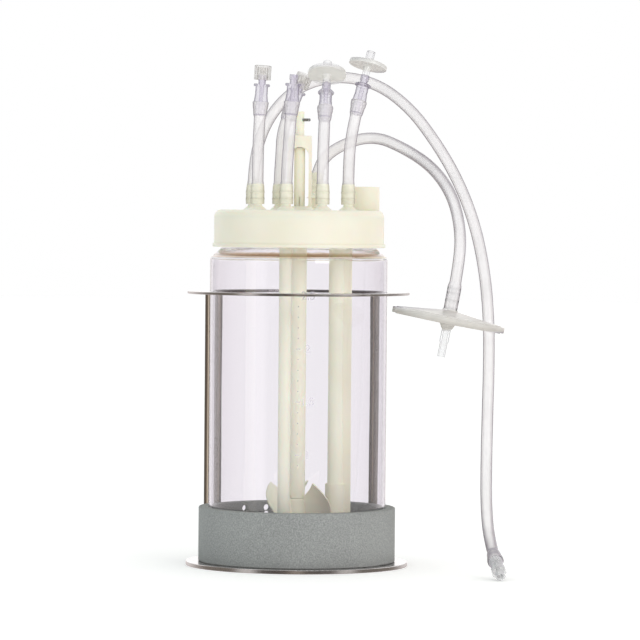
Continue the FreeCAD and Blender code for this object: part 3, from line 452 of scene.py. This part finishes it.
# (distance from the end, outer radius, bore radius) in mm, from the end face inwards
overPlateBarb = [(0.0, 5.05, 4.7), (0.5, 5.15, 4.7), (3.0, 5.15, 4.6), (4.0, 5.4, 5.15), (4.5, 5.15, 4.5),
                 (8.0, 5.1, 4.6), (9.0, 5.4, 5.15), (9.5, 5.1, 4.5), (12.8, 5.0, 4.5), (15.4, 4.6, 4.0),
                 (16.4, 4.4, boreRadius), (18.0, hoseRadius, boreRadius)]
overLuerBarb = [(0.0, 5.85, 4.6), (0.4, 6.0, 4.6), (3.0, 5.8, 4.5), (6.0, 5.3, 4.4), (9.0, 5.0, 4.3),
                (11.8, hoseRadius, boreRadius)]
overVentBarb = [(0.0, 5.0, 4.1), (0.5, 5.1, 4.1), (16.5, 5.1, 4.1), (20.5, hoseRadius, boreRadius)]
# where the barbs show through, in mm from the tube's ends: lengths, places and half widths
shown = {"barb": 15.5, "barbInside": 15.8, "ridges": (6.9, 11.0), "ridgeHalf": 0.35,
         "fittingEnd": 10.6, "fittingHalf": 0.35,
         "ventBarb": 15.5, "ventEnd": 16.6, "ventEndHalf": 0.7, "ventStep": 4.0, "ventStepWide": 1.4}


def lineCurve(kind, line):
    curve = bpy.data.curves.new("line", "CURVE")
    curve.dimensions = "3D"
    spline = curve.splines.new(kind)
    spline.points.add(len(line) - 1)
    for point, at in zip(spline.points, line):
        point.co = (*at, 1.0)
    return curve, spline


def routeLine(points):
    # The smooth line of a hose: a NURBS spline on the route's points, read as Blender draws it.
    curve, spline = lineCurve("NURBS", points)
    spline.order_u = 3
    spline.use_endpoint_u = True
    spline.resolution_u = 64 if len(points) < 8 else 32
    mesh = drawnMesh("route", curve)
    line = [v.co.copy() for v in mesh.vertices]
    bpy.data.meshes.remove(mesh)
    return line


def stepped(table, distance, which):
    # A radius from a table by distance, with soft steps between its rows.
    for (low, *before), (high, *after) in zip(table, table[1:]):
        if distance <= high:
            t = max(distance - low, 0.0) / (high - low)
            return before[which] + (after[which] - before[which]) * t * t * (3 - 2 * t)
    return table[-1][1 + which]


def sweep(line, radii):
    # An open tube along a line, its radius changing on the way.
    curve, spline = lineCurve("POLY", line)
    curve.bevel_depth = 1.0
    curve.bevel_resolution = 8
    curve.use_fill_caps = False
    for point, radius in zip(spline.points, radii):
        point.radius = radius / 1000
    return drawnMesh("wall", curve)


def toneAt(away, left, endTable):
    # What shows through the outer wall at these distances in mm from the tube's start and end.
    if away < shown["barb"]:
        return "ridge" if any(abs(away - ridge) < shown["ridgeHalf"] for ridge in shown["ridges"]) else "barb"
    if endTable is not overVentBarb:
        return "fitting" if abs(left - shown["fittingEnd"]) < shown["fittingHalf"] else "hose"
    onStep = left < shown["ventBarb"] and left % shown["ventStep"] < shown["ventStepWide"]
    return "step" if onStep or abs(left - shown["ventEnd"]) < shown["ventEndHalf"] else "hose"


def hoseMesh(line, startTable, endTable):
    # A hollow tube that stretches over what it is pushed on: the bore's wall, the outer wall and a ring at each end.
    gone = [0.0]
    for a, b in zip(line, line[1:]):
        gone.append(gone[-1] + (b - a).length * 1000)
    whole = gone[-1]
    walls = []
    for which in (0, 1):
        radii = []
        for distance in gone:
            table, away = (startTable, distance) if distance < whole / 2 else (endTable, whole - distance)
            radii.append(stepped(table, away, which))
        walls.append(sweep(line, radii))
    order = list(hoseTones)
    mesh = bmesh.new()
    mesh.from_mesh(walls[1])
    bmesh.ops.reverse_faces(mesh, faces=mesh.faces)
    for face in mesh.faces:
        overBarb = (face.calc_center_median() - line[0]).length * 1000 < shown["barbInside"]
        face.material_index = order.index("barb" if overBarb else "bore")
    inside = set(mesh.faces)
    mesh.from_mesh(walls[0])
    for face in mesh.faces:
        if face not in inside:
            away, left = ((face.calc_center_median() - end).length * 1000 for end in (line[0], line[-1]))
            face.material_index = order.index(toneAt(away, left, endTable))
    bmesh.ops.remove_doubles(mesh, verts=mesh.verts, dist=0.000001)
    openEdges = [e for e in mesh.edges if e.is_boundary]
    for end in (line[0], line[-1]):
        near = [e for e in openEdges if (e.verts[0].co - end).length < 0.007]
        bmesh.ops.bridge_loops(mesh, edges=near)
    bmesh.ops.recalc_face_normals(mesh, faces=mesh.faces)
    return mesh


for name, hose in hoses.items():
    line = routeLine(hose["points"])
    mesh = hoseMesh(line, overPlateBarb, overVentBarb if name == "vent" else overLuerBarb)
    tube = fromBmesh("hoseTube_" + name, mesh, hoseTones["hose"])
    for tone in list(hoseTones)[1:]:
        tube.data.materials.append(hoseTones[tone])
    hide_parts("hose_" + name)
print("hoses made")

studio = {"floorRadius": 9.0, "floor": "#F7F7F7", "floorGlow": 0.25, "floorRoughness": 0.8,
          "cameraDistance": 3.055, "cameraHeight": 0.265, "lens": 230.66, "sensor": 36.0, "clip": 50.0,
          "pitch": -1.54, "yaw": -0.302, "roll": 0.48,
          "lampAt": (1.4, -2.3, 1.0), "lampTarget": (0, 0, 0.2), "lampSize": (1.0, 1.2), "lampPower": 14.0}

floorMesh = bmesh.new()
bmesh.ops.create_circle(floorMesh, cap_ends=True, segments=96, radius=studio["floorRadius"])
floorData = bpy.data.meshes.new("studioFloor")
floorMesh.to_mesh(floorData)
floorMesh.free()
floor = link("studioFloor", floorData)
floorMaterial, floorTree, floorShader, _ = newMaterial("whiteSweep")
setSockets(floorTree, floorShader, {"Base Color": linear(studio["floor"]), "Emission Color": linear("#FFFFFF"),
                                    "Emission Strength": studio["floorGlow"], "Roughness": studio["floorRoughness"]})
letThrough(floorTree, floorShader, ("Is Glossy Ray",))  # steel mirrors the room, not the white sweep
floorData.materials.append(floorMaterial)

# ranges are (from, to) on the axes of the way that a ray looks
surround = {"shine": 1.6, "shineBehind": 0.5, "open": 1.0, "diffuse": 0.83, "ceiling": (0.6, 0.85),
            "horizon": (0.0, 0.05), "rear": (0.2, 0.6), "rearLight": 0.8, "sideways": (-0.7, 0.3), "deep": 3.5,
            "sides": [(0.0, "#F0FAFB"), (1.0, "#FFFDFA")],
            "panels": [(0.0, "#BDB5B3"), (0.10, "#CFC9C7"), (0.19, "#7D7670"), (0.31, "#6E6862"), (0.335, "#CFCBC9"),
                       (0.37, "#CFCBC9"), (0.39, "#5E5955"), (0.43, "#524D4A"), (0.475, "#5E5852"), (0.49, "#998F85"),
                       (0.51, "#998F85"), (0.525, "#5E5852"), (0.57, "#524D4A"), (0.61, "#5E5955"),
                       (0.63, "#C2BEBB"), (0.665, "#C2BEBB"), (0.69, "#6E6862"), (0.83, "#7D7670"),
                       (0.90, "#CFC9C7"), (1.0, "#BDB5B3")]}


def studioWorld():
    # White all round for the eye and through clear plastic. What shines on the object is a ring of
    # grey walls with two bright panels in front and a bright ceiling, which give steel and clear plastic their edges.
    world = bpy.data.worlds.new("studioWorld")
    world.use_nodes = True
    tree = world.node_tree
    tree.nodes.clear()
    white = linear("#FFFFFF")
    across, depth, up = addNode(
        tree, "ShaderNodeSeparateXYZ", (addNode(tree, "ShaderNodeTexCoord").outputs["Generated"],)).outputs
    front = addNode(tree, "ShaderNodeMath", (depth, -1.0), operation="MULTIPLY")
    azimuth = addNode(tree, "ShaderNodeMath", (across, front), operation="ARCTAN2")
    turn = addNode(tree, "ShaderNodeMapRange", (azimuth, -math.pi, math.pi, 0.0, 1.0))
    walls = addNode(tree, "ShaderNodeValToRGB", (turn,), surround["panels"])
    above, sky, rear = (
        addNode(tree, "ShaderNodeMapRange", (axis, *surround[name], 0.0, most), interpolation_type="SMOOTHSTEP")
        for axis, name, most in ((up, "ceiling", 1.0), (up, "horizon", 1.0), (depth, "rear", surround["rearLight"])))
    backdrop = addNode(tree, "ShaderNodeMath", (sky, rear), operation="MULTIPLY")
    light = addNode(tree, "ShaderNodeMath", (above, backdrop), operation="MAXIMUM")
    room = addNode(tree, "ShaderNodeMix", {0: light, 6: walls, 7: white}, data_type="RGBA")
    side = addNode(tree, "ShaderNodeMapRange", (across, *surround["sideways"]))
    warm = addNode(tree, "ShaderNodeValToRGB", (side,), surround["sides"])
    soft = addNode(tree, "ShaderNodeBackground", {"Color": warm, "Strength": surround["diffuse"]})
    seen = addNode(tree, "ShaderNodeBackground", {"Color": white, "Strength": surround["open"]})
    path = addNode(tree, "ShaderNodeLightPath").outputs
    matt = addNode(tree, "ShaderNodeMixShader", (path["Is Diffuse Ray"], seen, soft))
    deep = addNode(tree, "ShaderNodeMath", (path["Transmission Depth"], surround["deep"]), operation="GREATER_THAN")
    once = addNode(tree, "ShaderNodeMath", (path["Glossy Depth"], deep), operation="MINIMUM")
    # rays that go on through plastic count as glossy too
    first = addNode(tree, "ShaderNodeMath", (path["Is Glossy Ray"], path["Is Transmission Ray"]), operation="SUBTRACT")
    mirrored = addNode(tree, "ShaderNodeMath", (first, once), operation="MAXIMUM")
    power = addNode(tree, "ShaderNodeMapRange", {0: once, 3: surround["shine"], 4: surround["shineBehind"]})
    shine = addNode(tree, "ShaderNodeBackground", {"Color": room.outputs[2], "Strength": power})
    gloss = addNode(tree, "ShaderNodeMixShader", (mirrored, matt, shine))
    addNode(tree, "ShaderNodeOutputWorld", {"Surface": gloss})
    world.cycles.sampling_method = "NONE"  # what each ray sees is its own, so lamps alone are sampled
    bpy.context.scene.world = world


studioWorld()

lamp = bpy.data.lights.new("keyLight", "AREA")
lamp.energy, lamp.shape = studio["lampPower"], "RECTANGLE"
lamp.size, lamp.size_y = studio["lampSize"]
keyLight = link("keyLight", lamp)
keyLight.location = studio["lampAt"]
keyLight.rotation_mode = "QUATERNION"
keyLight.rotation_quaternion = (Vector(studio["lampTarget"]) - Vector(studio["lampAt"])).to_track_quat("-Z", "Y")

lens = bpy.data.cameras.new("camera")
lens.lens = studio["lens"]
lens.sensor_width = studio["sensor"]
lens.clip_end = studio["clip"]
camera = link("camera", lens)
camera.location = (0.0, -studio["cameraDistance"], studio["cameraHeight"])
camera.rotation_mode = "QUATERNION"
look = Quaternion((0, 0, 1), math.radians(studio["yaw"])) @ Quaternion((1, 0, 0), math.radians(90 + studio["pitch"]))
camera.rotation_quaternion = look @ Quaternion((0, 0, 1), math.radians(studio["roll"]))
bpy.context.scene.camera = camera
print("studio made")

bpy.context.scene.view_settings.view_transform = "Standard"  # white stays white
bpy.context.scene.cycles.transparent_max_bounces = 32  # hoses and fittings stand behind each other
